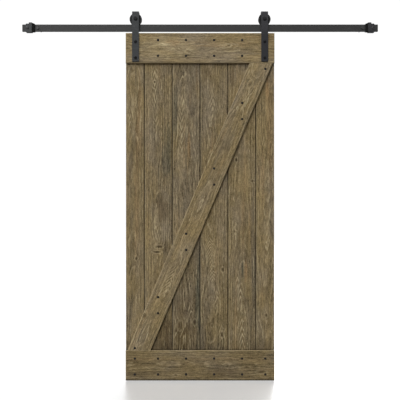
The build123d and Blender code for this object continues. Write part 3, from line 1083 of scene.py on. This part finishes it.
@dataclass
class DoorLeaf:
    """The leaf: six upright planks, two cross boards, a brace and the nails that hold them."""

    frame: dict
    nail_radius: float = 0.0076
    nail_rise: float = 0.0018
    nail_sink: float = 0.0004
    nail_steps: int = 18
    dome_angles: tuple[float, ...] = (0.0, 25.0, 48.0, 68.0, 84.0)
    nail_lean: float = 0.05
    nail_seed: int = 5
    nail_margin: float = 0.0435
    bottom_nail_drop: float = 0.0052
    brace_pair_gap: float = 0.099
    brace_line_middle: float = -1.1085
    brace_line_rise: float = 2.300
    brace_slips: tuple[float, float, float, float] = (-0.0025, -0.0093, -0.0037, 0.0025)
    brace_end_nails: tuple[float, float] = (-1.9675, -0.2540)
    brace_run: float = 0.751
    brace_rise: float = 1.766
    plank_count: int = 6
    seam_edge: float = 0.0065
    # Darkness in the seam V: settled stain and painted groove shade.
    seam_dirt_and_shade: float = 0.95
    # Paler rounded edges: rubbed stain and a painted edge highlight.
    arris_wear_and_highlight: float = 0.5

    def corner(self) -> Point:
        """The leaf's upper left corner on its front face."""
        low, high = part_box("top_board")
        return low.x, low.y, high.z

    def seams(self) -> list[float]:
        """The leaf's left edge, the seams between the planks and its right edge."""
        lows = [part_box(f"plank_{number}")[0].x for number in range(1, self.plank_count + 1)]
        return lows + [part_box(f"plank_{self.plank_count}")[1].x]

    def plank_centres(self) -> list[float]:
        """The middle of each plank."""
        seams = self.seams()
        return [(left + right) / 2 for left, right in zip(seams, seams[1:])]

    def finishes(self) -> dict[str, WoodFinish]:
        """Choose every board's wood, with the knots, patches and flames that show in it.

        Returns:
            The finishes, by the board's name.
        """
        corner = self.corner()
        ledge_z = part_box("bottom_board")[1].z
        found: dict[str, WoodFinish] = {}
        for number, x in enumerate(self.plank_centres(), 1):
            name = f"plank_{number}"
            low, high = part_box(name)
            middle_z = (low.z + high.z) / 2
            half = x - low.x
            beside = 0.0 if number == 1 else half - self.seam_edge
            found[name] = WoodFinish(
                f"wood_{name}", (x, low.y, middle_z), 0.0, corner, seam_dirt_and_shade=self.seam_dirt_and_shade,
                pale_left=beside, half=half, ledge=ledge_z - middle_z, **BOARD_LOOKS[name])
        brace_tilt = math.atan2(self.brace_run, self.brace_rise)
        for name, tilt in (("top_board", math.pi / 2), ("bottom_board", math.pi / 2),
                           ("brace", brace_tilt)):
            low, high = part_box(name)
            centre = ((low.x + high.x) / 2, low.y, (low.z + high.z) / 2)
            sole = (high.z - low.z) / 2 if name == "bottom_board" else 0.0
            found[name] = WoodFinish(f"wood_{name}", centre, tilt, corner,
                                     arris_wear_and_highlight=self.arris_wear_and_highlight, sole=sole, **BOARD_LOOKS[name])
        return found

    def dress(self) -> None:
        """Give every board its own wood."""
        for name, finish in self.finishes().items():
            dress([name], finish.material(), self.frame)
            log.info("dressed %s in stained wood", name)

    def nail_places(self) -> dict[str, list[tuple[float, float]]]:
        """Work out where the nails of each cross board and of the brace are.

        Returns:
            Pairs of x and z, by the board's name.
        """
        centres = self.plank_centres()
        middle_x = (self.seams()[0] + self.seams()[-1]) / 2
        places: dict[str, list[tuple[float, float]]] = {}
        for name, columns, drop in (("top_board", centres[1:-1], 0.0),
                                    ("bottom_board", centres, self.bottom_nail_drop)):
            low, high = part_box(name)
            rows = (high.z - self.nail_margin - drop, low.z + self.nail_margin - drop)
            places[name] = [(x, z) for x in columns for z in rows]
        pairs = []
        for x, slip in zip(centres[1:-1], self.brace_slips):
            line_z = self.brace_line_middle + self.brace_line_rise * (x - middle_x) + slip
            pairs += [(x, line_z + side * self.brace_pair_gap / 2) for side in (-1.0, 1.0)]
        ends = list(zip((centres[0], centres[-1]), self.brace_end_nails))
        places["brace"] = pairs + ends
        return places

    def build_nails(self) -> None:
        """Drive the nails: domed heads, each a little out of true, in one piece for each board."""
        metal = DarkNail("blackened_iron").material()
        luck = random.Random(self.nail_seed)
        dome = [(self.nail_radius * math.sin(angle), self.nail_rise * math.cos(angle))
                for angle in map(math.radians, self.dome_angles)]
        profile = dome + [(self.nail_radius, -self.nail_sink)]
        for name, places in self.nail_places().items():
            shape = bmesh.new()
            face_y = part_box(name)[0].y
            for x, z in places:
                centre = Vector((x, face_y, z))
                fresh = turn_profile(shape, profile, centre, self.nail_steps)
                nod, roll = (luck.uniform(-self.nail_lean, self.nail_lean) for _ in range(2))
                lean = Matrix.Rotation(nod, 3, "X") @ Matrix.Rotation(roll, 3, "Z")
                bmesh.ops.rotate(shape, cent=centre, matrix=lean, verts=fresh)
            finish_piece(f"nails_{name}", shape, metal, "door")


@dataclass
class Hardware:
    """Everything of steel and rubber: rail, spacers, stops, hangers, rollers and their fixings."""

    frame: dict
    coats: tuple[tuple[tuple[str, ...], Union[PowderCoat, Rubber]], ...] = (
        (("track_rail",), PowderCoat("rail_coat", (42, 42, 42), rub=0.25, shine=0.25)),
        (("hanger_strap_left", "stop_left"),
         PowderCoat("strap_coat", (40, 42, 43), (88, 90, 91), rub=0.4, shine=0.25, painted_top_light=1.25)),
        # The right strap and stop take a darker copy of the strap coat: painted shade.
        (("hanger_strap_right", "stop_right"),
         PowderCoat("strap_coat_right_painted_shade", (32, 32, 34), (80, 80, 82), rub=0.35, shine=0.2,
                    painted_top_light=1.9)),
        (("wall_spacer", "lag_bolt", "stop_bolt", "stop_nut"),
         PowderCoat("screw_coat", (42, 42, 42), roughness=0.42, rub=0.3)),
        (("axle_",), PowderCoat("axle_coat", (30, 30, 31), roughness=0.62, rub=0.2, shine=0.12)),
        (("roller",), PowderCoat("roller_coat", (18, 18, 19), roughness=0.5, rub=0.15, shine=0.15)),
        (("strap_bolt", "strap_nut"),
         PowderCoat("fixing_coat", (12, 12, 13), roughness=0.5, rub=0.1, shine=0.12)),
        (("stop_bumper",), Rubber("bumper_rubber")),
    )
    thread_metal: PowderCoat = PowderCoat("thread_steel", (70, 70, 72), (120, 118, 112), rub=0.6)
    bolt_count: int = 4
    thread_root: float = 0.0037
    thread_height: float = 0.0007
    thread_half: float = 0.35
    thread_pitch: float = 0.0032
    thread_start: float = 0.004
    thread_point: float = 0.010
    thread_steps: int = 20

    def dress(self) -> None:
        """Give every metal and rubber node its finish."""
        for starts, finish in self.coats:
            names = [name for name in self.frame["nodes"] if name.startswith(starts)]
            dress(names, finish.material(), self.frame)
            log.info("dressed %s in %s", ", ".join(names), finish.name)

    def build_threads(self) -> None:
        """Cut the lag bolts' threads: one helical ridge round the part that enters the wall."""
        steel = self.thread_metal.material()
        ridge = [(self.thread_root, -self.thread_half * self.thread_pitch),
                 (self.thread_root + self.thread_height, 0.0),
                 (self.thread_root, self.thread_half * self.thread_pitch)]
        for number in range(1, self.bolt_count + 1):
            low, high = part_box(f"lag_bolt_{number}")
            centre = Vector(((low.x + high.x) / 2, 0.0, (low.z + high.z) / 2))
            length = high.y - self.thread_point - self.thread_start
            turns = length / self.thread_pitch
            steps = round(turns * self.thread_steps)
            shape = bmesh.new()
            start = [shape.verts.new(centre + Vector((radius, self.thread_start + rise, 0.0)))
                     for radius, rise in ridge]
            edges = [shape.edges.new((start[a], start[b])) for a, b in ((0, 1), (1, 2), (2, 0))]
            bmesh.ops.spin(shape, geom=start + edges, cent=centre, axis=(0.0, 1.0, 0.0),
                           dvec=(0.0, length / steps, 0.0), angle=2.0 * math.pi * turns,
                           steps=steps, use_duplicate=False)
            bmesh.ops.holes_fill(shape, edges=shape.edges, sides=len(ridge))
            finish_piece(f"thread_{number}", shape, steel, "track")


@dataclass(frozen=True)
class SoftLight:
    """A far, soft light that shines evenly on the whole part."""

    name: str
    place: Point
    spread: float
    strength: float


@dataclass
class Studio:
    """A pale floor, soft light from the upper left and a camera square to the leaf."""

    eye: Point = (0.3995, -3.048, -1.0586)
    lens: float = 44.0
    sensor: float = 36.0
    lights: tuple[SoftLight, ...] = (
        SoftLight("sky", (-2.3, -2.6, 3.6), 75.0, 2.75),
        SoftLight("key", (-2.0, -3.6, 2.8), 14.0, 0.75),
        SoftLight("back", (2.4, 3.0, 2.2), 60.0, 2.4),
    )
    backdrop: float = 1.04
    ambient: float = 0.03
    floor_gap: float = 0.006
    floor_reach: float = 9.0
    floor_grey: float = 0.2
    floor_glow: float = 1.1
    floor_blur: float = 0.34
    floor_sheen: float = 0.6

    def build_camera(self) -> None:
        """Set up the camera, level and square to the leaf."""
        data = bpy.data.cameras.new("camera")
        data.lens = self.lens
        data.sensor_width = self.sensor
        camera = bpy.data.objects.new("camera", data)
        bpy.context.scene.collection.objects.link(camera)
        camera.location = self.eye
        camera.rotation_euler = (math.pi / 2, 0.0, 0.0)
        bpy.context.scene.camera = camera

    def build_lights(self) -> None:
        """Add the lights, each turned towards the leaf's middle."""
        middle = Vector((self.eye[0], 0.0, self.eye[2]))
        for soft in self.lights:
            data = bpy.data.lights.new(soft.name, "SUN")
            data.angle = math.radians(soft.spread)
            data.energy = soft.strength
            light = bpy.data.objects.new(soft.name, data)
            bpy.context.scene.collection.objects.link(light)
            light.location = middle + Vector(soft.place)
            light.rotation_euler = (-Vector(soft.place)).to_track_quat("-Z", "Y").to_euler()

    def build_surroundings(self) -> None:
        """Make the room: white where it is seen, dimmer where it only lights things."""
        world = bpy.data.worlds.new("studio")
        bpy.context.scene.world = world
        world.use_nodes = True
        tree = world.node_tree
        tree.nodes.clear()
        path = tree.nodes.new("ShaderNodeLightPath")
        choose = tree.nodes.new("ShaderNodeMixShader")
        output = tree.nodes.new("ShaderNodeOutputWorld")
        for socket, strength in zip(choose.inputs[1:], (self.ambient, self.backdrop)):
            white = tree.nodes.new("ShaderNodeBackground")
            white.inputs["Color"].default_value = (1.0, 1.0, 1.0, 1.0)
            white.inputs["Strength"].default_value = strength
            tree.links.new(white.outputs[0], socket)
        either = tree.nodes.new("ShaderNodeMath")
        either.operation = "MAXIMUM"
        tree.links.new(path.outputs["Is Camera Ray"], either.inputs[0])
        tree.links.new(path.outputs["Is Glossy Ray"], either.inputs[1])
        tree.links.new(either.outputs[0], choose.inputs[0])
        tree.links.new(choose.outputs[0], output.inputs["Surface"])

    def build_floor(self) -> None:
        """Lay the pale floor just under the leaf, with a soft reflection."""
        graph = NodeGraph("studio_floor")
        graph.shader.inputs["Base Color"].default_value = (*(self.floor_grey,) * 3, 1.0)
        graph.shader.inputs["Specular IOR Level"].default_value = 0.0
        graph.shader.inputs["Emission Color"].default_value = (1.0, 1.0, 1.0, 1.0)
        path = graph.add("ShaderNodeLightPath").outputs
        seen = graph.math("MAXIMUM", path["Is Camera Ray"], path["Is Glossy Ray"])
        glow = graph.math("MULTIPLY", seen, self.floor_glow)
        graph.join(glow, graph.shader.inputs["Emission Strength"])
        sheen = graph.add("ShaderNodeBsdfGlossy")
        sheen.inputs["Roughness"].default_value = self.floor_blur
        surface = graph.add("ShaderNodeMixShader")
        share = graph.math("MULTIPLY", path["Is Camera Ray"], self.floor_sheen)
        graph.join(share, surface.inputs[0])
        graph.join(graph.shader.outputs["BSDF"], surface.inputs[1])
        graph.join(sheen.outputs[0], surface.inputs[2])
        graph.join(surface.outputs[0], graph.output.inputs["Surface"])
        shape = bmesh.new()
        bmesh.ops.create_grid(shape, x_segments=1, y_segments=1, size=self.floor_reach)
        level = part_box("bottom_board")[0].z - self.floor_gap
        bmesh.ops.translate(shape, verts=shape.verts, vec=(self.eye[0], 0.0, level))
        mesh = bpy.data.meshes.new("floor")
        shape.to_mesh(mesh)
        shape.free()
        mesh.materials.append(graph.material)
        floor = bpy.data.objects.new("floor", mesh)
        bpy.context.scene.collection.objects.link(floor)

    def build(self) -> None:
        """Set up camera, lights, surroundings and floor."""
        self.build_camera()
        self.build_lights()
        self.build_surroundings()
        self.build_floor()
        bpy.context.scene.view_settings.view_transform = "Standard"
        log.info("set up the studio")


def main() -> None:
    """Load the frame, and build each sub-assembly and the studio."""
    logging.basicConfig(level=logging.INFO, format="%(name)s: %(message)s")
    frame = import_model()
    leaf = DoorLeaf(frame)
    leaf.dress()
    leaf.build_nails()
    hardware = Hardware(frame)
    hardware.dress()
    hardware.build_threads()
    Studio().build()


if __name__ == "__main__":
    main()
